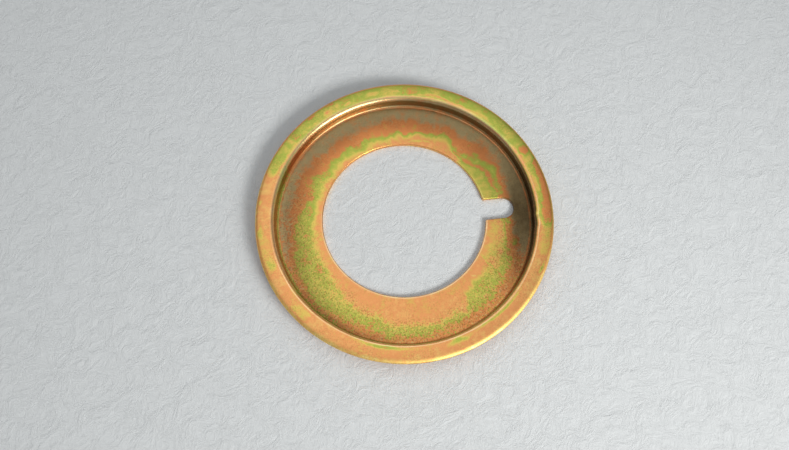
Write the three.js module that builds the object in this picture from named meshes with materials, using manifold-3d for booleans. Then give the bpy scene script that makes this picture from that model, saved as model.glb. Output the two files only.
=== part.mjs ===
// Dished washer: one pressing of plated sheet steel. A flat annular web lies at the bottom, a short
// wall stands up round it, and a rim turns outwards at the top, drooping slightly towards its edge.
// The web is pierced by a central bore that runs into one round-ended slot.
//
// Frame: millimetres, +Z up along the bore's axis and +X along the slot. The origin is on that axis,
// in the plane of the web's underside, which is the face that the washer lies on.

import * as THREE from "three";
import { mergeVertices } from "three/addons/utils/BufferGeometryUtils.js";
import Module from "manifold-3d";

// Driving dimensions.
const OUTER_RADIUS = 50;
const BORE_RADIUS = 27.75;
const SHEET = 1.5; // thickness of the sheet, the same in web, wall and rim
const HEIGHT = 6; // from the web's underside to the rim's flat top
const WALL_RADIUS = 43.5; // the wall's inner face, on the dish side
const LOWER_BEND_RADIUS = 1; // on the hollow side of the bend from web to wall
const UPPER_BEND_RADIUS = 0.2; // on the hollow side of the bend from wall to rim
const CROWN_START = 46.6; // where the rim's flat ends and its droop starts
const CROWN_RADIUS = 18; // of the droop, on the rim's top
const EDGE_ROUND = 0.25; // on every pierced or trimmed edge of the section
const SLOT_WIDTH = 7.5;
const SLOT_REACH = 37.7; // from the axis to the furthest point of the slot's round end

// How finely the round shapes are cut into flats.
const TURN_STEPS = 96;
const BEND_STEPS = 4;
const CROWN_STEPS = 3;
const EDGE_STEPS = 1;
const SLOT_END_STEPS = 24;
const SLOT_OVERRUN = 5; // how far the slot's cutter runs past both faces of the web

// Worked out from the above.
const LOWER_BEND_OUTSIDE = LOWER_BEND_RADIUS + SHEET;
const UPPER_BEND_OUTSIDE = UPPER_BEND_RADIUS + SHEET;
const LOWER_BEND = { r: WALL_RADIUS - LOWER_BEND_RADIUS, z: LOWER_BEND_OUTSIDE };
const UPPER_BEND = { r: WALL_RADIUS + UPPER_BEND_OUTSIDE, z: HEIGHT - UPPER_BEND_OUTSIDE };
const CROWN = { r: CROWN_START, z: HEIGHT - CROWN_RADIUS };
const UNDER_CROWN_RADIUS = CROWN_RADIUS - SHEET;

// Height of a crown's surface at a radius from the axis.
function crownHeight(radius, crownRadius) {
  return CROWN.z + Math.sqrt(crownRadius ** 2 - (radius - CROWN.r) ** 2);
}

// Points of an arc of the section about a centre, between two bearings in degrees, where 0 points
// away from the axis and 90 points up. Both ends are included.
function arc(centre, radius, fromDegrees, toDegrees, steps) {
  const points = [];
  for (let i = 0; i <= steps; i++) {
    const bearing = THREE.MathUtils.degToRad(
      THREE.MathUtils.lerp(fromDegrees, toDegrees, i / steps),
    );
    points.push(
      new THREE.Vector2(
        centre.r + radius * Math.cos(bearing),
        centre.z + radius * Math.sin(bearing),
      ),
    );
  }
  return points;
}

// The sheet's section, as one closed loop of (radius, height) points. It runs outwards along the
// underside, up the rim's trimmed edge, and back inwards along the dish side to the bore.
function section() {
  const edge = EDGE_ROUND;
  const under = crownHeight(OUTER_RADIUS, UNDER_CROWN_RADIUS);
  const over = crownHeight(OUTER_RADIUS, CROWN_RADIUS);
  const droopAt = (radius, crownRadius) =>
    THREE.MathUtils.radToDeg(Math.acos((radius - CROWN.r) / crownRadius));
  const roundedRadius = OUTER_RADIUS - edge;
  const loop = [
    ...arc({ r: BORE_RADIUS + edge, z: edge }, edge, 180, 270, EDGE_STEPS),
    ...arc(LOWER_BEND, LOWER_BEND_OUTSIDE, 270, 360, BEND_STEPS),
    ...arc(UPPER_BEND, UPPER_BEND_RADIUS, 180, 90, BEND_STEPS),
    ...arc(CROWN, UNDER_CROWN_RADIUS, 90, droopAt(roundedRadius, UNDER_CROWN_RADIUS), CROWN_STEPS),
    new THREE.Vector2(OUTER_RADIUS, under + edge),
    new THREE.Vector2(OUTER_RADIUS, over - edge),
    ...arc(CROWN, CROWN_RADIUS, droopAt(roundedRadius, CROWN_RADIUS), 90, CROWN_STEPS),
    ...arc(UPPER_BEND, UPPER_BEND_OUTSIDE, 90, 180, BEND_STEPS),
    ...arc(LOWER_BEND, LOWER_BEND_RADIUS, 360, 270, BEND_STEPS),
    ...arc({ r: BORE_RADIUS + edge, z: SHEET - edge }, edge, 90, 180, EDGE_STEPS),
  ];
  return [...loop, loop[0].clone()];
}

// The whole pressing before the slot is pierced: the section turned about Z.
function turnedBlank() {
  return new THREE.LatheGeometry(section(), TURN_STEPS).rotateX(Math.PI / 2);
}

// What the slot's punch takes out: a bar along +X with a half-round end, from inside the bore.
function slotPunch() {
  const halfWidth = SLOT_WIDTH / 2;
  const endCentre = SLOT_REACH - halfWidth;
  const outline = new THREE.Shape()
    .moveTo(0, -halfWidth)
    .lineTo(endCentre, -halfWidth)
    .absarc(endCentre, 0, halfWidth, -Math.PI / 2, Math.PI / 2, false)
    .lineTo(0, halfWidth);
  return new THREE.ExtrudeGeometry(outline, {
    depth: SHEET + 2 * SLOT_OVERRUN,
    bevelEnabled: false,
    curveSegments: SLOT_END_STEPS,
  }).translate(0, 0, -SLOT_OVERRUN);
}

const wasm = await Module();
wasm.setup();

// A three.js geometry as a manifold-3d solid.
function toSolid(geometry) {
  const bare = geometry.clone().deleteAttribute("normal").deleteAttribute("uv");
  const merged = mergeVertices(bare);
  return new wasm.Manifold(
    new wasm.Mesh({
      numProp: 3,
      vertProperties: merged.attributes.position.array,
      triVerts: new Uint32Array(merged.index.array),
    }),
  );
}

// A manifold-3d solid as a three.js geometry.
function toGeometry(solid) {
  const mesh = solid.getMesh();
  const geometry = new THREE.BufferGeometry()
    .setAttribute("position", new THREE.BufferAttribute(mesh.vertProperties, 3))
    .setIndex(new THREE.BufferAttribute(mesh.triVerts, 1));
  geometry.computeVertexNormals();
  return geometry;
}

const yellowZinc = new THREE.MeshStandardMaterial({
  name: "yellow_zinc_plate",
  color: 0xd2a35a,
  roughness: 0.35,
  metalness: 1,
});

const pressing = new THREE.Mesh(
  toGeometry(toSolid(turnedBlank()).subtract(toSolid(slotPunch()))),
  yellowZinc,
);
pressing.name = "pressed_washer";

const washer = new THREE.Group();
washer.add(pressing);

export default washer;
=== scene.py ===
"""A dished washer pressed from sheet steel and plated in iridescent yellow zinc, lying on its web.

The washer is one closed surface. A grid runs round the opening, that is the bore and the slot that
leaves it, in one direction, and round the sheet's section in the other. The yellow plating is a thin
film whose colour follows its thickness, so one number on the mesh picks its tint, and three more say
how much painted shade darkens it, how much painted highlight brightens it and lowers its roughness,
and how rough it is.

The washer is in metres, +Z up along the bore's axis and +X along the slot. The tints' places are in
millimetres and degrees.
"""

import math

import bpy
import numpy as np
from bpy.props import FloatProperty, FloatVectorProperty, IntProperty, PointerProperty
from bpy.types import Operator, Panel, PropertyGroup
from mathutils import Matrix, Vector


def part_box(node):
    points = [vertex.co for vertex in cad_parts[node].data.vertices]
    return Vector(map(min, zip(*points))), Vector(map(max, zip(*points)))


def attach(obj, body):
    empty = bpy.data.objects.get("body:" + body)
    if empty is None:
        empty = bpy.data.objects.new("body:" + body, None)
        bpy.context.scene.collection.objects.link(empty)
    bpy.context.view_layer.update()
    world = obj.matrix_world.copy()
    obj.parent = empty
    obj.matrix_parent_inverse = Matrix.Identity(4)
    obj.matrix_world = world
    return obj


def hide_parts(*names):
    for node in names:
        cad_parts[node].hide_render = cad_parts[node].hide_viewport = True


bl_info = {
    "name": "Dished washer",
    "version": (1, 0, 0),
    "blender": (4, 5, 0),
    "location": "View3D > Sidebar > Washer",
    "description": "Builds a plated sheet-steel washer and the stage it lies on",
    "category": "Object",
}

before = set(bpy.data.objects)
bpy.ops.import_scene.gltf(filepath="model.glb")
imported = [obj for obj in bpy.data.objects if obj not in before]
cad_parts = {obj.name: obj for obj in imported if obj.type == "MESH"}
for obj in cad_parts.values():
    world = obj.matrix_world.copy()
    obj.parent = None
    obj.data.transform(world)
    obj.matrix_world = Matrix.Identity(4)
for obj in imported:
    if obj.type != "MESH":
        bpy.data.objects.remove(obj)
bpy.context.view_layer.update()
NODE = "pressed_washer"
LOW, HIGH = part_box(NODE)
MM = 0.001


# Sizes and colours that a user would change


class WasherShape(PropertyGroup):
    """Sizes of the pressing. The outer radius and the height come from the frame."""

    outer_radius: FloatProperty(
        name="Outer radius",
        description="From the axis to the rim's trimmed edge",
        default=(HIGH.x - LOW.x) / 2,
        unit="LENGTH",
    )
    height: FloatProperty(
        name="Height",
        description="From the web's underside to the rim's flat top",
        default=HIGH.z,
        unit="LENGTH",
    )
    sheet: FloatProperty(
        name="Sheet",
        description="Thickness of the sheet",
        default=1.5 * MM,
        unit="LENGTH",
    )
    bore_radius: FloatProperty(
        name="Bore radius",
        description="Radius of the round hole through the web",
        default=27.75 * MM,
        unit="LENGTH",
    )
    slot_width: FloatProperty(
        name="Slot width",
        description="Width of the slot that opens into the bore",
        default=7.5 * MM,
        unit="LENGTH",
    )
    slot_reach: FloatProperty(
        name="Slot reach",
        description="From the axis to the furthest point of the slot's round end",
        default=37.7 * MM,
        unit="LENGTH",
    )
    wall_radius: FloatProperty(
        name="Wall radius",
        description="From the axis to the wall's face on the dish side",
        default=43.5 * MM,
        unit="LENGTH",
    )
    lower_bend: FloatProperty(
        name="Lower bend",
        description="Radius on the dish side of the bend from web to wall",
        default=1.0 * MM,
        unit="LENGTH",
    )
    upper_bend: FloatProperty(
        name="Upper bend",
        description="Radius on the dish side of the bend from wall to rim",
        default=1.55 * MM,
        unit="LENGTH",
    )
    neck: FloatProperty(
        name="Neck",
        description="Radius on the underside of the bend from wall to rim",
        default=0.2 * MM,
        unit="LENGTH",
    )
    crown_start: FloatProperty(
        name="Crown start",
        description="Radius at which the rim starts to droop",
        default=46.2 * MM,
        unit="LENGTH",
    )
    crown_radius: FloatProperty(
        name="Crown radius",
        description="Radius of the droop, on the rim's top",
        default=20 * MM,
        unit="LENGTH",
    )
    trim_roll: FloatProperty(
        name="Trim roll",
        description="Width of the rolled-over band along the rim's trimmed edge",
        default=1.2 * MM,
        unit="LENGTH",
    )
    die_roll: FloatProperty(
        name="Die roll",
        description="How far the punch rolls over the upper edge of the bore and the slot",
        default=0.32 * MM,
        unit="LENGTH",
    )
    mouth_radius: FloatProperty(
        name="Mouth radius",
        description="Rounding of the two corners where the slot meets the bore",
        default=0.45 * MM,
        unit="LENGTH",
    )
    offset: FloatProperty(
        name="Offset",
        description="How far the dish and the trimmed edge sit off the bore's axis",
        default=0.32 * MM,
        unit="LENGTH",
    )
    unevenness: FloatProperty(
        name="Unevenness",
        description="How far the pressed rim strays from true",
        default=0.12 * MM,
        unit="LENGTH",
    )
    seed: IntProperty(
        name="Seed",
        description="Starts the random waviness and the tints",
        default=7,
    )


class WasherFinish(PropertyGroup):
    """Colours of the plating, from where the film is thinnest to where it is thickest."""

    straw: FloatVectorProperty(
        name="Straw", description="Almost no film", subtype="COLOR", default=(1.0, 0.90, 0.56)
    )
    gold: FloatVectorProperty(
        name="Gold", description="Thin film", subtype="COLOR", default=(0.95, 0.66, 0.20)
    )
    orange: FloatVectorProperty(
        name="Orange", description="Usual film", subtype="COLOR", default=(0.93, 0.385, 0.14)
    )
    yellow: FloatVectorProperty(
        name="Yellow", description="Film past orange", subtype="COLOR", default=(0.86, 0.62, 0.14)
    )
    green: FloatVectorProperty(
        name="Green", description="Thicker film", subtype="COLOR", default=(0.46, 0.56, 0.085)
    )
    rose: FloatVectorProperty(
        name="Rose", description="Thick film", subtype="COLOR", default=(0.88, 0.33, 0.105)
    )
    olive: FloatVectorProperty(
        name="Olive", description="Thickest film", subtype="COLOR", default=(0.64, 0.49, 0.24)
    )
    roughness: FloatProperty(
        name="Roughness",
        description="Roughness of the plated metal",
        default=0.38,
        min=0,
        max=1,
        subtype="FACTOR",
    )


class StudioLight(PropertyGroup):
    """The camera, the lights and the floor."""

    lens: FloatProperty(
        name="Lens",
        description="Focal length of the camera, on a sensor 36 mm wide",
        default=34.68 * MM,
        unit="LENGTH",
    )
    tilt: FloatProperty(
        name="Tilt",
        description="How far the camera leans from looking straight down",
        default=math.radians(20.3),
        subtype="ANGLE",
    )
    turn: FloatProperty(
        name="Turn",
        description="How far the camera is turned about the washer's axis",
        default=math.radians(-6.4),
        subtype="ANGLE",
    )
    distance: FloatProperty(
        name="Distance",
        description="From the camera to the plane through the origin that faces it",
        default=260 * MM,
        unit="LENGTH",
    )
    key: FloatProperty(
        name="Key", description="Power of the key light, in watts", default=0.58, min=0
    )
    ceiling: FloatProperty(
        name="Ceiling", description="Brightness of the glow overhead", default=1.1, min=0
    )
    haze: FloatProperty(
        name="Haze", description="Brightness of the glow about the key", default=0.2, min=0
    )
    horizon: FloatProperty(
        name="Horizon", description="Brightness of the walls low down", default=0.6, min=0
    )
    room: FloatProperty(
        name="Room", description="Brightness of the room all round", default=0.17, min=0
    )
    floor: FloatVectorProperty(
        name="Floor",
        description="Colour of the floor",
        subtype="COLOR",
        default=(0.70, 0.72, 0.73),
    )


# Shapes


def smooth(x):
    """Smooth step: 3x^2 - 2x^3 with x held between 0 and 1."""
    x = np.clip(x, 0, 1)
    return x * x * (3 - 2 * x)


def bump(x):
    """A hump of height 1 at x = 0 that dies away like a bell: e to the power -x^2."""
    return np.exp(-x * x)


def turn_gap(bearing, centre):
    """Signed angle from centre to bearing, in radians, wrapped to half a turn either way."""
    return (bearing - centre + math.pi) % (2 * math.pi) - math.pi


def degrees_from(bearing, centre):
    """Signed angle to a bearing in radians from a centre in degrees, in degrees."""
    return np.degrees(turn_gap(bearing, math.radians(centre)))


def facing(bearing, centre):
    """Cosine of the angle from a centre in degrees: 1 on the side that faces it, -1 opposite."""
    return np.cos(bearing - math.radians(centre))


def mix(level, own, weight):
    """Draws a field towards a level of its own: level + weight x (own - level)."""
    return level + (own - level) * weight


def ripple(bearing, radius, cells, depth, seed):
    """Random heights from -1 to 1 that vary smoothly round the axis and along the radius.

    A lattice of random numbers has `cells` columns to the turn and a row every `depth` of radius.
    A point takes the smooth-stepped mean of the four numbers round it.
    """
    rows = int(radius.max() / depth) + 2
    lattice = np.random.default_rng(seed).uniform(-1, 1, (rows, cells))
    u = bearing / (2 * math.pi) * cells
    v = radius / depth
    column = np.floor(u).astype(int)
    row = np.floor(v).astype(int)
    fu = smooth(u - column)
    fv = smooth(v - row)
    left = column % cells
    right = (column + 1) % cells
    low = np.minimum(row, rows - 1)
    high = np.minimum(row + 1, rows - 1)
    near = lattice[low, left] * (1 - fu) + lattice[low, right] * fu
    far = lattice[high, left] * (1 - fu) + lattice[high, right] * fu
    return near * (1 - fv) + far * fv


def opening(shape):
    """The outline of the bore and the slot, once round from the slot's tip, anticlockwise.

    Half of it is an arc of the slot's round end, the slot's straight side, a small arc that rounds
    the mouth's corner, and an arc of the bore. The other half is its mirror image. Returns the
    points, the unit vectors from them into the sheet, and each one's share of the way round.
    """
    half = shape.slot_width / 2
    end = shape.slot_reach - half
    mouth = shape.mouth_radius
    corner_y = half + mouth
    corner_x = math.sqrt((shape.bore_radius + mouth) ** 2 - corner_y**2)
    lean = math.atan2(corner_y, corner_x)

    # Points are closest on the small arcs. The bore's are as many as the mesh can afford.
    tip = np.linspace(0, math.pi / 2, 24, endpoint=False)
    side = np.linspace(0, 1, 16, endpoint=False)
    turn = np.linspace(-math.pi / 2, lean - math.pi, 10, endpoint=False)
    bore = np.linspace(lean, math.pi, 319)
    flat = np.zeros_like(side)
    parts = [
        (end + half * np.cos(tip), half * np.sin(tip), np.cos(tip), np.sin(tip)),
        (end + side * (corner_x - end), flat + half, flat, flat + 1),
        (
            corner_x + mouth * np.cos(turn),
            corner_y + mouth * np.sin(turn),
            -np.cos(turn),
            -np.sin(turn),
        ),
        (
            shape.bore_radius * np.cos(bore),
            shape.bore_radius * np.sin(bore),
            np.cos(bore),
            np.sin(bore),
        ),
    ]
    upper = np.concatenate([np.stack(p, 1) for p in parts])
    lower = upper[-2:0:-1] * (1, -1, 1, -1)
    ring = np.concatenate([upper, lower])
    steps = np.linalg.norm(np.roll(ring[:, :2], -1, 0) - ring[:, :2], axis=1)
    share = np.concatenate([[0], np.cumsum(steps)[:-1]]) / steps.sum()
    return ring[:, :2], ring[:, 2:], share


def arc(centre, radius, start, stop, count, ends=(True, True)):
    """Points of an arc in the (radius, height) plane: centre + radius x (cos, sin).

    The angle goes from start to stop, in degrees. Either end can be left out.
    """
    angle = np.radians(np.linspace(start, stop, count))
    angle = angle[0 if ends[0] else 1 : None if ends[1] else -1]
    return np.stack([centre[0] + radius * np.cos(angle), centre[1] + radius * np.sin(angle)], 1)


class Place:
    """Where corners lie on the true shape: bearing, radius and height in mm, and on which side."""

    def __init__(self, bearing, radius, height, upper):
        self.bearing = bearing
        self.radius = radius
        self.height = np.broadcast_to(height, radius.shape)
        self.upper = np.broadcast_to(upper, radius.shape)


def section(shape):
    """Rows of the grid round the sheet's section, as (share, inset, radius, height, drift, side).

    A row with share 0 follows the opening's outline, inset into the sheet. A row with share 1 is a
    circle about the axis. A row of the web lies between the two in proportion to its share. The
    section runs up the pierced edge, out along the dish side, over the rim, down its trimmed edge
    and back along the underside. Drift says how much of the dish's offset a row takes: all of it on
    the wall and at the trimmed edge, and none at the opening or on the crest between wall and rim.
    Side is 1 on the dish side and 0 elsewhere.
    """
    sheet = shape.sheet
    roll = shape.die_roll
    lower = (shape.wall_radius - shape.lower_bend, sheet + shape.lower_bend)
    upper = (shape.wall_radius + shape.upper_bend, shape.height - shape.upper_bend)
    outside = shape.wall_radius + sheet
    neck = (outside + shape.neck, shape.height - sheet - shape.neck)
    trimmed = shape.outer_radius - shape.trim_roll
    rows = []

    def edge_rows(points, side=0):
        """Rows that follow the opening's outline, by inset and height."""
        rows.extend((0, inset, 0, height, 0, side) for inset, height in points)

    def ring_rows(points, drift=1.0, side=0):
        """Circles about the axis, by radius and height."""
        rows.extend((1, 0, radius, height, drift, side) for radius, height in points)

    def rim_rows(points, side=0):
        """Circles of the rim. Drift is the square of the way out from the crest to the edge."""
        for radius, height in points:
            reach = (radius - upper[0]) / (shape.outer_radius - upper[0])
            rows.append((1, 0, radius, height, max(reach, 0.0) ** 2, side))

    def web_rows(height, shares, side=0):
        """Rows of the web, by their share of the way from the opening to the lower bend."""
        rows.extend((share, roll, lower[0], height, share**2, side) for share in shares)

    def crown(radius):
        """Height of the rim's top: level up to the crown's start, then an arc that turns down."""
        past = max(radius - shape.crown_start, 0.0)
        return shape.height - shape.crown_radius + math.sqrt(shape.crown_radius**2 - past**2)

    # The pierced edge: torn and tapered below, upright above, rolled over at the top.
    taper = 0.06 * MM
    torn = sheet * 0.36
    nick = 0.05 * MM
    edge_rows([(taper + nick, 0), (taper + nick * 0.3, nick * 0.3), (taper, nick)])
    edge_rows([(taper * 0.5, torn * 0.55), (0, torn), (0, (torn + sheet - roll) / 2)])
    angles = np.radians(np.linspace(180, 90, 7))
    edge_rows(
        zip(roll + roll * np.cos(angles), sheet - roll * 0.8 + roll * 0.8 * np.sin(angles)), 1
    )
    # The dish side.
    web_rows(sheet, np.linspace(0, 1, 37)[1:-1], 1)
    ring_rows(arc(lower, shape.lower_bend, -90, 0, 8), side=1)
    ring_rows([(shape.wall_radius, z) for z in np.linspace(lower[1], upper[1], 6)[1:-1]], side=1)
    for point in arc(upper, shape.upper_bend, 180, 90, 18):
        ring_rows([point], (upper[0] - point[0]) / shape.upper_bend, 1)
    rim_rows([(r, crown(r)) for r in np.linspace(upper[0], trimmed, 21)[1:-1]], 1)
    # The trimmed edge: a quarter ellipse taken off the crown, then upright, then torn.
    fall = shape.trim_roll * 0.4
    for angle in np.radians(np.linspace(0, 90, 9)):
        radius = trimmed + shape.trim_roll * math.sin(angle)
        rim_rows([(radius, crown(radius) - fall * (1 - math.cos(angle)))], 1)
    bottom = crown(shape.outer_radius) - sheet
    rim_rows([(shape.outer_radius, z) for z in (bottom + 0.7 * MM, bottom + torn * 0.8)])
    rim_rows([(shape.outer_radius - taper, bottom + nick)])
    rim_rows([(shape.outer_radius - taper - nick, bottom)])
    # The underside.
    rim_rows([(r, crown(r) - sheet) for r in np.linspace(trimmed, neck[0], 6)[:-1]])
    ring_rows(arc(neck, shape.neck, 90, 180, 4))
    ring_rows([(outside, z) for z in np.linspace(neck[1], lower[1], 5)[1:-1]])
    ring_rows(arc(lower, shape.lower_bend + sheet, 0, -90, 7))
    web_rows(0, np.linspace(1, 0, 7)[1:-1])
    edge_rows([(taper + 3 * nick, 0)])
    return np.array(rows)


# Knocks in the pressed dish: bearing in degrees and radius in millimetres of the middle, half-length
# and half-width in millimetres, how far the metal has gone down, and outwards.
KNOCKS = (
    (-11.0, 45.0, 1.1, 1.3, 0.10, 0.30),
    (-6.5, 44.6, 1.0, 1.2, 0.28, -0.25),
    (69.0, 43.9, 0.8, 1.3, 0.12, -0.08),
)


def washer_grid(shape):
    """Corners of the whole surface, as an array of rows round the section by points round the axis.

    A corner is (1 - share) x (outline + inset x inward) + share x radius x (cos, sin), at the row's
    height. Then it goes outwards by offset x drift x cos(bearing + 95 degrees), which sets the dish
    off centre, and the rim is moved up or down, and in or out by half as much, by waves round the
    axis that grow with the radius past the wall. Last come the knocks, which are bell-shaped.
    Returns the corners, and where each one lies on a washer without offset, waves or knocks.
    """
    outline, inward, way = opening(shape)
    rows = section(shape)
    share, inset, radius, height, drift, side = (rows[:, k, None] for k in range(6))
    angle = way * 2 * math.pi
    x = (1 - share) * (outline[:, 0] + inset * inward[:, 0]) + share * radius * np.cos(angle)
    y = (1 - share) * (outline[:, 1] + inset * inward[:, 1]) + share * radius * np.sin(angle)
    z = np.broadcast_to(height, x.shape).copy()

    bearing = np.arctan2(y, x)
    reach = np.hypot(x, y)
    outwards = smooth((reach - shape.wall_radius) / (shape.outer_radius - shape.wall_radius))
    slow = ripple(bearing, 0 * reach, 7, 1.0, shape.seed)
    quick = ripple(bearing, 0 * reach, 23, 1.0, shape.seed + 1)
    z += shape.unevenness * outwards * (slow + 0.25 * quick)
    swell = 0.5 * shape.unevenness * outwards * ripple(bearing, 0 * reach, 5, 1.0, shape.seed + 2)
    swell += shape.offset * drift * np.cos(bearing + math.radians(95))
    dished = z > shape.sheet
    for degrees, middle, length, width, down, out in KNOCKS:
        along = turn_gap(bearing, math.radians(degrees)) * reach / (length * MM)
        across = (reach - middle * MM) / (width * MM)
        dent = bump(along) * bump(across) * dished * MM
        z -= down * dent
        swell += out * dent
    corners = np.stack([x * (1 + swell / reach), y * (1 + swell / reach), z], 2)
    return corners, Place(bearing, reach / MM, height / MM, side > 0)


# Levels of the film's thickness at which each tint of the plating stands.
STRAW = 0.0
GOLD = 0.18
ORANGE = 0.33
YELLOW = 0.46
GREEN = 0.58
ROSE = 0.72
OLIVE = 0.88

# Radii in millimetres of the section's landmarks, which the tints, the painted shade and the painted
# highlight lines keep to.
LIP = 28.1  # the rolled edge of the bore
FOOT = 42.7  # where the web turns up into the wall
WALL = 43.6  # the wall, where the web's film starts to give way to the rim's
BEND = 44.25  # the bend from wall to rim
CREST = 45.05  # the line along the top of the bend
EDGE = 49.7  # the rim's rolled edge

UNDERSIDE_TURN = 2.4  # in radians: the underside's film is the dish side's, mirrored and turned

# Where the film turns green, then rose, then olive on the way out across the web: the radius of each
# front in millimetres, by bearing in degrees.
FRONTS = (
    (-180, 30.6, 37.8, 40.2),
    (-170, 31.0, 38.4, 41.0),
    (-160, 31.2, 39.6, 42.6),
    (-150, 31.6, 41.2, 44.0),
    (-140, 33.0, 41.6, 44.5),
    (-130, 34.6, 40.0, 45.0),
    (-120, 36.4, 40.2, 45.0),
    (-110, 35.8, 41.2, 45.0),
    (-100, 37.6, 40.4, 45.0),
    (-91, 36.2, 40.5, 45.0),
    (-80, 37.8, 40.2, 45.0),
    (-71, 37.0, 39.6, 45.0),
    (-65, 38.8, 39.4, 45.0),
    (-59, 33.2, 39.8, 45.0),
    (-50, 32.0, 39.0, 45.0),
    (-42, 33.2, 38.4, 45.0),
    (-30, 35.0, 38.6, 44.0),
    (-20, 35.4, 39.4, 41.5),
    (-10, 34.6, 37.5, 39.5),
    (0, 31.0, 37.5, 39.5),
    (10, 27.0, 38.0, 40.0),
    (20, 27.0, 37.6, 41.0),
    (30, 27.3, 35.9, 41.0),
    (40, 28.0, 33.8, 38.8),
    (50, 30.8, 32.6, 37.6),
    (60, 31.8, 34.6, 37.8),
    (70, 32.0, 33.8, 38.0),
    (80, 31.3, 31.8, 38.8),
    (90, 30.8, 33.4, 38.3),
    (100, 29.9, 31.6, 37.8),
    (110, 29.2, 33.0, 38.1),
    (125, 29.2, 33.2, 38.1),
    (140, 29.2, 32.8, 38.1),
    (150, 29.3, 33.8, 39.2),
    (160, 29.6, 32.4, 39.8),
    (170, 30.0, 35.4, 39.6),
    (180, 30.6, 37.8, 40.2),
)

# What each front steps up to, over what width in millimetres, and how far in from the front's radius
# the middle of the step lies.
FRONT_STEPS = (
    (GREEN, 4.4, 0.0),
    (ROSE, 3.0, 0.0),
    (OLIVE, 4.6, 0.6),
)

# Ridges of rosy film that cross the web: bearing and radius of each point, and the half-width.
RIDGES = (
    (((6, 34.6), (12, 32.6), (24, 32.9), (32, 32.2), (40, 30.8), (50, 30.2)), 0.75),
    (((-30, 42.0), (-24, 38.5), (-14, 35.0), (-5, 33.2)), 0.9),
    (((-41, 40.5), (-38, 36.0), (-35, 30.5)), 0.7),
)

# Patches where the film has settled at a level of its own: bearing in degrees and radius in
# millimetres of the middle, half-length in degrees, half-width in millimetres, level, strength.
WEB_PATCHES = (
    (73, 28.9, 9, 0.35, GREEN - 0.08, 0.9),
    (-176, 34.0, 3.5, 1.3, ROSE - 0.03, 0.7),
    (-160, 36.2, 4.0, 1.2, ROSE - 0.04, 0.6),
    (-153, 34.0, 3.5, 1.3, ROSE - 0.04, 0.6),
    (-146, 36.8, 14, 1.8, YELLOW + 0.03, 0.5),
    (-134, 36.5, 6, 2.0, YELLOW, 0.6),
    (-109, 38.6, 7, 1.7, GREEN + 0.03, 0.8),
    (-22, 33.0, 13, 3.8, ORANGE + 0.07, 0.85),
    (-26, 38.6, 7, 2.4, YELLOW + 0.04, 0.6),
    (0, 40.2, 27, 4.6, 1.0, 0.9),
    (15, 37.2, 8, 2.2, OLIVE - 0.03, 0.6),
    (18, 29.3, 17, 2.4, YELLOW + 0.02, 0.8),
    (-53, 35.8, 8, 3.2, GREEN + 0.03, 0.9),
    (-42, 34.0, 4.5, 2.2, GREEN - 0.03, 0.8),
    (-48.5, 30.7, 0.6, 0.4, STRAW + 0.12, 0.7),
    (-27, 32.2, 6, 2.0, YELLOW + 0.03, 0.8),
    (-13, 30.8, 7, 1.7, YELLOW, 0.6),
    (-32, 36.6, 3.5, 1.6, GREEN, 0.5),
    (-19, 38.2, 3, 1.1, GREEN, 0.9),
    (-57, 43.2, 1.5, 1.5, GREEN, 0.8),
    (-110, 43.6, 6, 0.5, GREEN, 0.8),
    (37, 35.0, 3, 0.8, YELLOW, 0.4),
)
RIM_PATCHES = (
    (-171, 47.5, 11, 2.6, YELLOW - 0.05, 0.9),
    (-163, 47.0, 3.0, 1.3, GREEN - 0.03, 0.8),
    (-178, 48.5, 3, 1.0, GREEN, 0.8),
    (-154, 47.5, 4, 2.2, GOLD + 0.08, 0.6),
    (-141, 47.3, 6, 2.4, ROSE - 0.02, 0.35),
    (-137, 46.0, 1.3, 0.4, GREEN - 0.04, 0.5),
    (-104, 45.8, 12, 0.6, GREEN, 1.0),
    (-126, 47.6, 11, 1.8, ORANGE - 0.03, 0.8),
    (-75, 46.4, 4.5, 0.9, GREEN, 1.0),
    (-54, 45.6, 14, 0.55, GREEN, 0.9),
    (-46, 47.6, 16, 1.5, ORANGE - 0.03, 0.7),
    (-29, 48.7, 3.0, 0.9, GREEN, 1.0),
    (-21, 47.8, 4, 2.2, YELLOW + 0.04, 0.7),
    (-14.5, 47.5, 1.3, 2.2, GREEN, 0.35),
    (-6, 48.0, 7.5, 2.9, ROSE, 1.0),
    (4, 48.4, 8, 2.0, ROSE, 1.0),
    (2, 45.8, 4.5, 0.7, GREEN, 0.9),
    (14.5, 46.4, 5, 1.3, GREEN - 0.04, 0.9),
    (12, 48.9, 8, 1.7, ROSE, 1.0),
    (23, 47.3, 3.2, 2.6, ROSE, 1.0),
    (38, 47.2, 9, 2.4, YELLOW + 0.05, 0.6),
    (46, 47.0, 1.3, 1.6, ROSE - 0.06, 0.8),
    (87, 46.4, 2.5, 0.6, YELLOW - 0.03, 0.5),
    (98, 46.8, 2.5, 1.0, YELLOW - 0.05, 0.8),
    (110, 46.3, 1.6, 0.8, ORANGE + 0.02, 0.9),
    (115, 47.5, 2.5, 1.6, YELLOW - 0.04, 0.7),
    (119, 46.1, 1.6, 0.8, ORANGE, 0.8),
    (117, 48.5, 2.0, 0.8, ROSE - 0.01, 1.0),
    (125, 48.7, 2.2, 1.0, ROSE - 0.01, 1.0),
    (121, 45.5, 20, 0.6, YELLOW + 0.04, 0.9),
    (62, 45.1, 16, 0.6, ORANGE, 0.85),
    (152, 45.0, 13, 0.6, ORANGE, 0.85),
    (140, 47.2, 1.4, 1.4, YELLOW - 0.04, 0.6),
    (154, 46.6, 1.6, 1.4, ROSE - 0.1, 0.9),
    (170, 48.6, 1.6, 0.8, GREEN, 0.7),
    (176, 47.0, 6, 2.6, GOLD + 0.08, 0.8),
)


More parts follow.
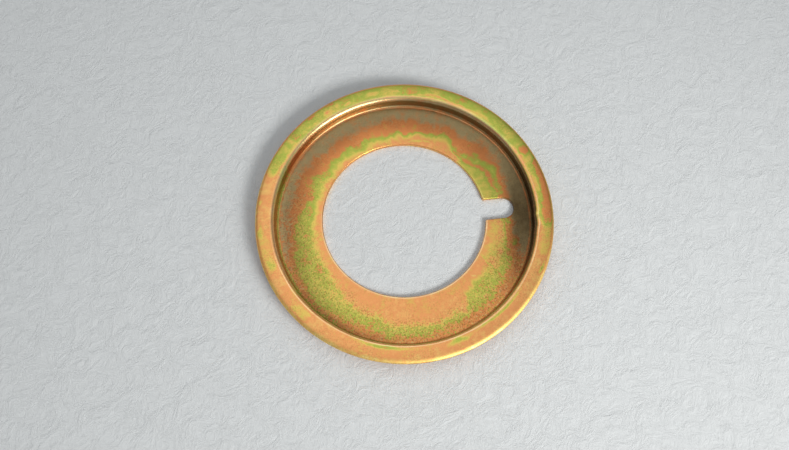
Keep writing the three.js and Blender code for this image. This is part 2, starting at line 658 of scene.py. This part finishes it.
def settle(level, patches, bearing, radius):
    """Draws a field towards each patch's own level, most at its middle, like a flat-topped bell."""
    for degrees, middle, length, width, own, strength in patches:
        along = degrees_from(bearing, degrees) / length
        across = (radius - middle) / width
        level = mix(level, own, strength * np.exp(-((along**2 + across**2) ** 1.5)))
    return level


def film(place, seed):
    """Thickness of the plating's film, from 0, bare, to 1, thickest.

    Across the web it is orange at the bore and climbs in three smooth steps, one at each front. Rosy
    ridges cross the steps. On the rim it is orange on the side where the bath drained first and green
    on the other. At the rim's rolled edge it is painted gold, partly a painted highlight and widest on
    the side facing -Y, and orange on the side facing +Y. Random ripples push the boundaries about, and
    patches settle at levels of their own. Then the bend has a thin orange line on the side facing +Y,
    the wall's foot has a rosy line all round, and the wall is gold on the side facing -X. The underside
    has the same tints turned over, and the cut faces are all one thin orange.
    """
    bearing = np.where(place.upper, place.bearing, UNDERSIDE_TURN - place.bearing)
    radius = place.radius
    coarse = ripple(bearing, radius, 31, 9, seed + 3)
    medium = ripple(bearing, radius, 87, 4, seed + 4)
    fine = ripple(bearing, radius, 240, 1.6, seed + 5)
    wilder = 0.7 + 0.6 * smooth(np.sin(bearing))
    pushed = radius + wilder * coarse + (wilder - 0.2) * medium + 0.3 * fine
    swung = bearing + np.radians(
        1.2 * ripple(bearing, radius, 60, 2.5, seed + 6)
        + 0.8 * ripple(bearing, radius, 170, 1.2, seed + 7)
    )
    degrees = degrees_from(swung, 0)

    turns, *fronts = np.array(FRONTS).T
    web = below = ORANGE
    for front, (level, width, lead) in zip(fronts, FRONT_STEPS):
        past = pushed - np.interp(degrees, turns, front) + lead
        web = web + (level - below) * smooth(past / width + 0.5)
        below = level
    web = settle(web, WEB_PATCHES, swung, pushed)
    for points, width in RIDGES:
        turns, radii = np.array(points).T
        ends = smooth((degrees - turns[0]) / 3 + 0.5) * smooth((turns[-1] - degrees) / 6 + 0.5)
        gap = pushed - np.interp(degrees, turns, radii)
        web = mix(web, ROSE - 0.03, 0.95 * ends * bump(gap / width))

    thick = smooth((degrees - 26) / 5 + 0.5) * smooth((157 - degrees) / 6 + 0.5)
    rim = ORANGE - 0.02 + (GREEN + 0.01 - ORANGE) * thick + 0.04 * (coarse + medium)
    rim = settle(rim, RIM_PATCHES, swung, radius + (pushed - radius) * 0.5)
    # The rolled edge's gold band, widest on the side facing -Y, is partly a painted highlight.
    near = smooth(0.1 - np.sin(bearing) * 1.2)
    far = smooth((degrees - 45) / 8) * smooth((150 - degrees) / 8)
    brink = smooth((radius - EDGE + 0.4 + near + 0.4 * far) / (0.6 + 0.9 * near))
    rim = mix(rim, mix(GOLD, ORANGE - 0.02, far), 0.9 * brink)

    level = mix(web, rim, smooth(radius - WALL))
    level = mix(level, ORANGE, 0.9 * far * bump((radius - BEND - 0.15) / 0.3))
    level = mix(level, ROSE, 0.9 * bump((radius - FOOT - 0.05) / 0.4))
    level = mix(level, GOLD, 0.85 * clear_side(bearing) * bump((radius - WALL) / 0.8))
    pierced = (place.height > 0.01) & (radius < FOOT - 2.7)
    trimmed = radius > EDGE - 0.2
    level = np.where(~place.upper & (pierced | trimmed), ORANGE - 0.08, level)
    return np.clip(level + 0.02 * fine, 0, 1)


def clear_side(bearing):
    """A hump round the side facing -X, where the wall's film stayed thin and clear."""
    return bump(degrees_from(bearing, -173) / 36)


def depth_of_tone(place, seed):
    """How dark the colour is painted, from 0, clear, to 1, heaviest: mostly painted shade, with random
    tone.

    It darkens outwards across the web on the side facing +Y, as painted shade. Painted shade near the
    wall, a hump round the axis times a smooth step along the radius, draws the web towards full
    darkness, the heaviest of it behind the slot. A darker band, also a hump times a step, crosses the
    web about 22 degrees, and a tarnish about -26. The wall is painted middling shade, light on the side
    facing -X and heavy behind the slot, and the rim is all but clear.
    and the rim is all but clear.
    """
    bearing = place.bearing
    cloud = ripple(bearing, place.radius, 40, 5, seed + 8)
    radius = place.radius + 0.6 * cloud
    # Painted shade: the web darkens outwards on the side facing +Y.
    far = smooth(0.6 + 0.8 * facing(bearing, 105))
    web = 0.04 + 0.55 * far * smooth((radius - 29.5) / 9)
    # Painted shade near the wall on the left, about -155 degrees.
    left = 0.34 * bump(degrees_from(bearing, -155) / 42)
    web = mix(web, 1, left * smooth((radius - 36) / 5))
    # Painted shade, the heaviest, near the wall behind the slot.
    gap = degrees_from(bearing, -4)
    web = mix(web, 0.98, bump(gap / 33) * smooth((radius - 32.3 - 0.004 * gap**2) / 6))
    # Darker across the web about 22 degrees, from near the bore out to a radius of 37 mm.
    darker_band = 0.2 * bump(degrees_from(bearing, 22) / 34)
    web = mix(web, 1, darker_band * smooth((radius - 27) / 3) * smooth((37 - radius) / 4))
    tarnished = 0.3 * bump(degrees_from(bearing, -26) / 13)
    web = mix(web, 1, tarnished * smooth((radius - 30) / 6))
    # Painted shade near the wall low on the left, about -132 degrees.
    lower = 0.75 * bump(degrees_from(bearing, -132) / 26)
    web = mix(web, 1, lower * smooth((radius - 40) / 3))

    # The painted shade is lighter near the wall on the side facing -X.
    clear = clear_side(bearing)
    web = web * (1 - 0.25 * clear * smooth((place.radius - 40) / 2))
    # Painted shade on the wall: middling, heavier towards +Y, light on the side facing -X, heavy behind
    # the slot.
    wall = np.maximum((0.25 + 0.2 * far) * (1 - clear), 0.9 * bump(gap / 45))
    web = mix(web, wall, smooth((place.radius - FOOT + 0.3) / 0.6) * (0.9 + 0.1 * clear))
    rim = 0.02 + 0.03 * cloud
    return np.clip(mix(web, rim, smooth((place.radius - BEND + 0.1 + 0.45 * far) / 0.6)), 0, 1)


def polish(place, seed):
    """How far the colour is painted pale as a painted highlight, with the roughness lowered as gloss,
    from 0 to 1, and below 0 where it is left dull and rougher.

    Each painted highlight line is a bell across the radius, about a radius of its own. They are the
    crest between wall and rim, thin, and strongest on the side facing -Y; the bend below it, broad, and
    strongest towards +Y; the corner at the wall's foot, on the side facing +Y; and the rolled edge of
    the bore, towards -Y. The rim's rolled edge is dull on the side facing -Y.
    """
    bearing = place.bearing
    radius = place.radius
    wander = 0.06 * ripple(bearing, 0 * radius, 60, 1.0, seed + 9)
    patchy = 0.75 + 0.25 * ripple(bearing, 0 * radius, 90, 1.0, seed + 10)
    # Painted highlight: strongest on the side of the bend where the key light's highlight falls.
    highlight_side = smooth(0.35 + 1.6 * facing(bearing, 112))
    crest = bump((radius - CREST - wander) / 0.13) * (place.height > 5)
    crest = crest * (0.3 + 0.7 * smooth(0.5 - 1.5 * np.sin(bearing))) * (1 - 0.8 * highlight_side)
    bend = bump((radius - BEND) / 0.5) * (place.height > 4.4) * (0.1 + 0.5 * highlight_side)
    corner = bump((radius - FOOT) / 0.12) * (place.height < 2.0)
    corner = corner * 0.25 * smooth(0.3 + 1.2 * facing(bearing, 105))
    lip = bump((radius - LIP) / 0.22) * (place.height > 1.2)
    lip = lip * 0.9 * smooth(0.6 - np.sin(bearing))
    dull = 0.9 * bump((radius - EDGE) / 0.7) * smooth(0.3 - 1.2 * np.sin(bearing))
    return place.upper * (patchy * np.clip(crest + bend + corner + lip, 0, 1) - dull)


def grit(place, seed):
    """How rough the surface is, from 0 to 1: roughest on the web, on the side facing -Y and -X.

    The roughness there starts a little way out from the bore, and further out about -85 degrees.
    The wall and the rim have an even, low one. Random clouds are added all over.
    """
    low = smooth(0.55 + 0.75 * facing(place.bearing, -105))
    start = 29.5 + 4.5 * bump(degrees_from(place.bearing, -85) / 35)
    web = 0.15 + 0.85 * low * smooth((place.radius - start) / 4)
    cloud = 0.25 * ripple(place.bearing, place.radius, 50, 4, seed + 11)
    return np.clip(mix(web, 0.22, smooth(place.radius - WALL + 0.2)) + cloud, 0, 1)


MEASURES = (film, depth_of_tone, polish, grit)


def put_surface(name, corners):
    """A mesh object from a grid of corners that closes on itself both ways."""
    rows, points = corners.shape[:2]
    index = np.arange(rows * points).reshape(rows, points)
    below = np.roll(index, -1, 0)
    faces = np.stack([index, np.roll(index, -1, 1), np.roll(below, -1, 1), below], 2)
    mesh = bpy.data.meshes.new(name)
    mesh.vertices.add(rows * points)
    mesh.vertices.foreach_set("co", corners.reshape(-1).astype(np.float32))
    mesh.loops.add(faces.size)
    mesh.loops.foreach_set("vertex_index", faces.reshape(-1).astype(np.int32))
    mesh.polygons.add(rows * points)
    mesh.polygons.foreach_set("loop_start", np.arange(0, faces.size, 4, dtype=np.int32))
    mesh.polygons.foreach_set("loop_total", np.full(rows * points, 4, np.int32))
    mesh.update(calc_edges=True)
    mesh.validate()
    mesh.shade_smooth()
    piece = bpy.data.objects.new(name, mesh)
    bpy.context.scene.collection.objects.link(piece)
    return piece


def put_numbers(mesh, name, values):
    """A named number on each corner of a mesh."""
    attribute = mesh.attributes.new(name, "FLOAT", "POINT")
    attribute.data.foreach_set("value", values.reshape(-1).astype(np.float32))


# Materials


class Channel:
    """A node's output, with arithmetic that adds Math nodes."""

    def __init__(self, nodes, socket):
        self.nodes = nodes
        self.socket = socket

    def math(self, operation, first, second):
        node = self.nodes.add("ShaderNodeMath", {"operation": operation}, {0: first, 1: second})
        return Channel(self.nodes, node.outputs[0])

    def __add__(self, other):
        return self.math("ADD", self, other)

    __radd__ = __add__

    def __sub__(self, other):
        return self.math("SUBTRACT", self, other)

    def __rsub__(self, other):
        return self.math("SUBTRACT", other, self)

    def __mul__(self, other):
        return self.math("MULTIPLY", self, other)

    __rmul__ = __mul__

    def __pow__(self, other):
        return self.math("POWER", self, other)

    def at_least(self, floor):
        return self.math("MAXIMUM", self, floor)


class NodeTree:
    """The nodes of a material or a world, all added by one method."""

    def __init__(self, owner):
        owner.use_nodes = True
        self.owner = owner
        self.tree = owner.node_tree
        self.tree.nodes.clear()

    def add(self, kind, settings=None, inputs=None):
        """A node of a kind: its settings go on first, then a value or a link on each input."""
        node = self.tree.nodes.new(kind)
        for name, value in (settings or {}).items():
            if name == "stops":
                self.set_stops(node.color_ramp, value)
            else:
                setattr(node, name, value)
        for name, value in (inputs or {}).items():
            socket = self.live(node.inputs, name)
            if isinstance(value, Channel):
                self.tree.links.new(value.socket, socket)
            else:
                socket.default_value = value
        return node

    @staticmethod
    def live(sockets, name):
        """A socket by number, or the enabled one of those that share a name."""
        if isinstance(name, int):
            return sockets[name]
        return next(socket for socket in sockets if socket.name == name and socket.enabled)

    def channel(self, kind, settings=None, inputs=None, output=0):
        """The same, returning one of the node's outputs to calculate with."""
        return Channel(self, self.live(self.add(kind, settings, inputs).outputs, output))

    def noise(self, place, scale, detail):
        """Smooth random numbers about 0.5, in lumps 1 / scale across."""
        return self.channel(
            "ShaderNodeTexNoise", None, {"Vector": place, "Scale": scale, "Detail": detail}
        )

    def step(self, value, start, stop):
        """A smooth step of a number, from 0 at one value to 1 at another."""
        return self.channel(
            "ShaderNodeMapRange",
            {"interpolation_type": "SMOOTHSTEP"},
            {"Value": value, "From Min": start, "From Max": stop},
        )

    def blend(self, kind, amount, first, second):
        """Two colours through a Mix node, by a number from 0 to 1."""
        return self.channel(
            "ShaderNodeMix",
            {"data_type": "RGBA", "blend_type": kind},
            {"Factor": amount, "A": first, "B": (*second, 1)},
            output="Result",
        )

    @staticmethod
    def set_stops(ramp, stops):
        """Fills a colour ramp with (position, colour) stops."""
        while len(ramp.elements) < len(stops):
            ramp.elements.new(0.5)
        for element, (position, colour) in zip(ramp.elements, stops):
            element.position = position
            element.color = (*colour, 1)


def plating(finish):
    """The iridescent yellow plating: a metal whose colour follows the film's thickness, with painted
    shade and painted highlights on it.
    """
    nodes = NodeTree(bpy.data.materials.new("yellow_zinc_plating"))
    place = nodes.channel("ShaderNodeTexCoord", output="Object")
    film_level, shade_and_tone, highlight_and_gloss, rough = (
        nodes.channel("ShaderNodeAttribute", {"attribute_name": measure.__name__}, output="Fac")
        for measure in MEASURES
    )
    grain = nodes.noise(place, 1700.0, 2.0)
    blotch = nodes.noise(place, 480.0, 3.0)
    cloud = nodes.noise(place, 230.0, 2.0)
    pepper = nodes.noise(place, 2300.0, 1.0)
    speck = nodes.step(pepper, 0.47, 0.7)
    glint = nodes.step(grain, 0.5, 0.7)
    colour = nodes.channel(
        "ShaderNodeValToRGB",
        {
            "stops": [
                (STRAW, finish.straw),
                (GOLD, finish.gold),
                (ORANGE, finish.orange),
                (YELLOW, finish.yellow),
                (GREEN, finish.green),
                (ROSE - 0.04, finish.rose),
                (ROSE + 0.04, finish.rose),
                (OLIVE, finish.olive),
            ]
        },
        {
            "Fac": film_level
            + (grain - 0.5) * (rough * 0.55 + 0.04)
            + (blotch - 0.5) * 0.2
            + (cloud - 0.5) * 0.16
        },
    )
    colour = nodes.blend("MIX", glint * (rough * 0.6 + 0.02), colour, finish.gold)
    # Painted shade, with random blotches: the colour darkens towards dark brown by the shade-and-tone
    # number.
    colour = nodes.blend("MULTIPLY", shade_and_tone + (blotch - 0.5) * 0.2, colour, (0.14, 0.12, 0.1))
    colour = nodes.blend("MULTIPLY", speck * (rough * 0.5 + 0.05), colour, (0.3, 0.24, 0.16))
    # Painted highlights: the colour is drawn towards straw along the painted highlight lines.
    colour = nodes.blend("MIX", highlight_and_gloss * 0.75, colour, finish.straw)
    relief = nodes.channel(
        "ShaderNodeBump",
        None,
        {"Height": grain * (rough + 0.15), "Strength": 0.8, "Distance": 0.1 * MM},
    )
    shader = nodes.channel(
        "ShaderNodeBsdfPrincipled",
        None,
        {
            "Base Color": colour,
            "Metallic": 1.0,
            "Roughness": finish.roughness - highlight_and_gloss * 0.18 + (grain - 0.5) * 0.1,
            "Coat Weight": 0.15,
            "Coat Roughness": 0.25,
            "Normal": relief,
        },
    )
    nodes.add("ShaderNodeOutputMaterial", None, {"Surface": shader})
    return nodes.owner


def floor_paint(studio):
    """A matt pale floor with a fine wrinkled grain."""
    nodes = NodeTree(bpy.data.materials.new("pale_floor"))
    place = nodes.channel("ShaderNodeTexCoord", output="Object")
    wrinkle = nodes.channel(
        "ShaderNodeTexNoise",
        None,
        {"Vector": place, "Scale": 160.0, "Detail": 6.0, "Roughness": 0.72, "Distortion": 1.6},
    )
    relief = nodes.channel(
        "ShaderNodeBump", None, {"Height": wrinkle, "Strength": 0.5, "Distance": 1.5 * MM}
    )
    shader = nodes.channel(
        "ShaderNodeBsdfPrincipled",
        None,
        {
            "Base Color": (*studio.floor, 1),
            "Roughness": 0.85,
            "Specular IOR Level": 0.25,
            "Normal": relief,
        },
    )
    nodes.add("ShaderNodeOutputMaterial", None, {"Surface": shader})
    return nodes.owner


def toward(bearing, height):
    """Unit vector to a bearing round the axis and a height above the floor, in degrees."""
    bearing = math.radians(bearing)
    height = math.radians(height)
    level = math.cos(height)
    return Vector((level * math.cos(bearing), level * math.sin(bearing), math.sin(height)))


# Operators


class OBJECT_OT_pressed_washer(Operator):
    """Build the pressed washer in place of its plain solid"""

    bl_idname = "object.pressed_washer"
    bl_label = "Pressed washer"

    def execute(self, context):
        shape = context.scene.washer_shape
        corners, place = washer_grid(shape)
        piece = put_surface("plated_washer", corners)
        for measure in MEASURES:
            put_numbers(piece.data, measure.__name__, measure(place, shape.seed))
        piece.data.materials.append(plating(context.scene.washer_finish))
        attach(piece, "root")
        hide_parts(NODE)
        return {"FINISHED"}


class SCENE_OT_washer_stage(Operator):
    """Lay the floor, hang the lights and set up the camera"""

    bl_idname = "scene.washer_stage"
    bl_label = "Stage"

    # Directions as a bearing and a height in degrees.
    key_way = (-55, 34)
    key_reach = 0.65
    ceiling_way = (110, 71)
    haze_way = (-60, 55)
    # How far right and up of the picture's middle the washer lies, as shares of the distance.
    washer_off_centre = (0.0127, 0.00746)
    floor_half = 2.5

    def execute(self, context):
        studio = context.scene.washer_studio
        self.lay_floor(studio)
        self.hang_key(context.scene, studio)
        self.light_room(context.scene, studio)
        self.set_camera(context.scene, studio)
        return {"FINISHED"}

    def lay_floor(self, studio):
        """A square of floor under the washer, far wider than any view of it."""
        half = self.floor_half
        mesh = bpy.data.meshes.new("floor")
        corners = [(-half, -half, 0), (half, -half, 0), (half, half, 0), (-half, half, 0)]
        mesh.from_pydata(corners, [], [(0, 1, 2, 3)])
        mesh.materials.append(floor_paint(studio))
        floor = bpy.data.objects.new("floor", mesh)
        bpy.context.scene.collection.objects.link(floor)

    def hang_key(self, scene, studio):
        """A soft box of light low on one side, facing the origin, that dims away from its axis."""
        lamp = bpy.data.lights.new("key", "AREA")
        lamp.shape = "RECTANGLE"
        lamp.size = 0.32
        lamp.size_y = 0.19
        lamp.energy = studio.key
        lamp.spread = math.radians(70)
        lamp.color = (1.0, 0.99, 0.96)
        holder = bpy.data.objects.new("key", lamp)
        place = toward(*self.key_way) * self.key_reach
        aim = place.to_track_quat("Z", "Y").to_matrix().to_4x4()
        holder.matrix_world = Matrix.Translation(place) @ aim
        scene.collection.objects.link(holder)

    def light_room(self, scene, studio):
        """A dim room whose ceiling glows, with a weaker glow near the key and walls bright low down.

        Brightness is room + ceiling x cos(angle from its glow)^8 + haze x cos(angle from its glow)^4
        + horizon x (1 - height)^4, with height as the sine of the angle above the floor.
        """
        nodes = NodeTree(bpy.data.worlds.new("room"))
        way = nodes.channel("ShaderNodeTexCoord", output="Generated")

        def cosine(aim):
            """Cosine of the angle from the direction of a glow, or 0 behind it."""
            return nodes.channel(
                "ShaderNodeVectorMath",
                {"operation": "DOT_PRODUCT"},
                {0: way, 1: aim},
                output="Value",
            ).at_least(0.0)

        height = nodes.channel("ShaderNodeSeparateXYZ", None, {0: way}, output="Z").at_least(0.0)
        strength = (
            cosine(toward(*self.ceiling_way)) ** 8 * studio.ceiling
            + cosine(toward(*self.haze_way)) ** 4 * studio.haze
            + (1 - height) ** 4 * studio.horizon
            + studio.room
        )
        background = nodes.channel(
            "ShaderNodeBackground", None, {"Color": (0.97, 0.99, 1.0, 1), "Strength": strength}
        )
        nodes.add("ShaderNodeOutputWorld", None, {"Surface": background})
        scene.world = nodes.owner
        scene.view_settings.view_transform = "Standard"

    def set_camera(self, scene, studio):
        """A leaning camera, moved left and down so that the washer sits right of centre and above it."""
        data = bpy.data.cameras.new("camera")
        data.sensor_width = 36
        data.lens = studio.lens / MM
        data.clip_start = 0.01
        camera = bpy.data.objects.new("camera", data)
        turn = Matrix.Rotation(studio.turn, 4, "Z") @ Matrix.Rotation(studio.tilt, 4, "X")
        right, up = (share * studio.distance for share in self.washer_off_centre)
        camera.matrix_world = turn @ Matrix.Translation((-right, -up, studio.distance))
        scene.collection.objects.link(camera)
        scene.camera = camera


class VIEW3D_PT_washer(Panel):
    """The washer's sizes, colours and lights, and the buttons that build it"""

    bl_label = "Washer"
    bl_idname = "VIEW3D_PT_washer"
    bl_space_type = "VIEW_3D"
    bl_region_type = "UI"
    bl_category = "Washer"

    def draw(self, context):
        column = self.layout.column()
        for operator in OPERATORS:
            column.operator(operator.bl_idname)
        for name in ("washer_shape", "washer_finish", "washer_studio"):
            group = getattr(context.scene, name)
            for key in group.bl_rna.properties.keys():
                if key not in ("rna_type", "name"):
                    column.prop(group, key)


OPERATORS = (OBJECT_OT_pressed_washer, SCENE_OT_washer_stage)
CLASSES = (WasherShape, WasherFinish, StudioLight, *OPERATORS, VIEW3D_PT_washer)


def register():
    for cls in CLASSES:
        bpy.utils.register_class(cls)
    bpy.types.Scene.washer_shape = PointerProperty(type=WasherShape)
    bpy.types.Scene.washer_finish = PointerProperty(type=WasherFinish)
    bpy.types.Scene.washer_studio = PointerProperty(type=StudioLight)


def unregister():
    del bpy.types.Scene.washer_studio
    del bpy.types.Scene.washer_finish
    del bpy.types.Scene.washer_shape
    for cls in reversed(CLASSES):
        bpy.utils.unregister_class(cls)


def main():
    """Registers the classes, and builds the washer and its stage."""
    register()
    bpy.ops.object.pressed_washer()
    bpy.ops.scene.washer_stage()


if __name__ == "__main__":
    main()
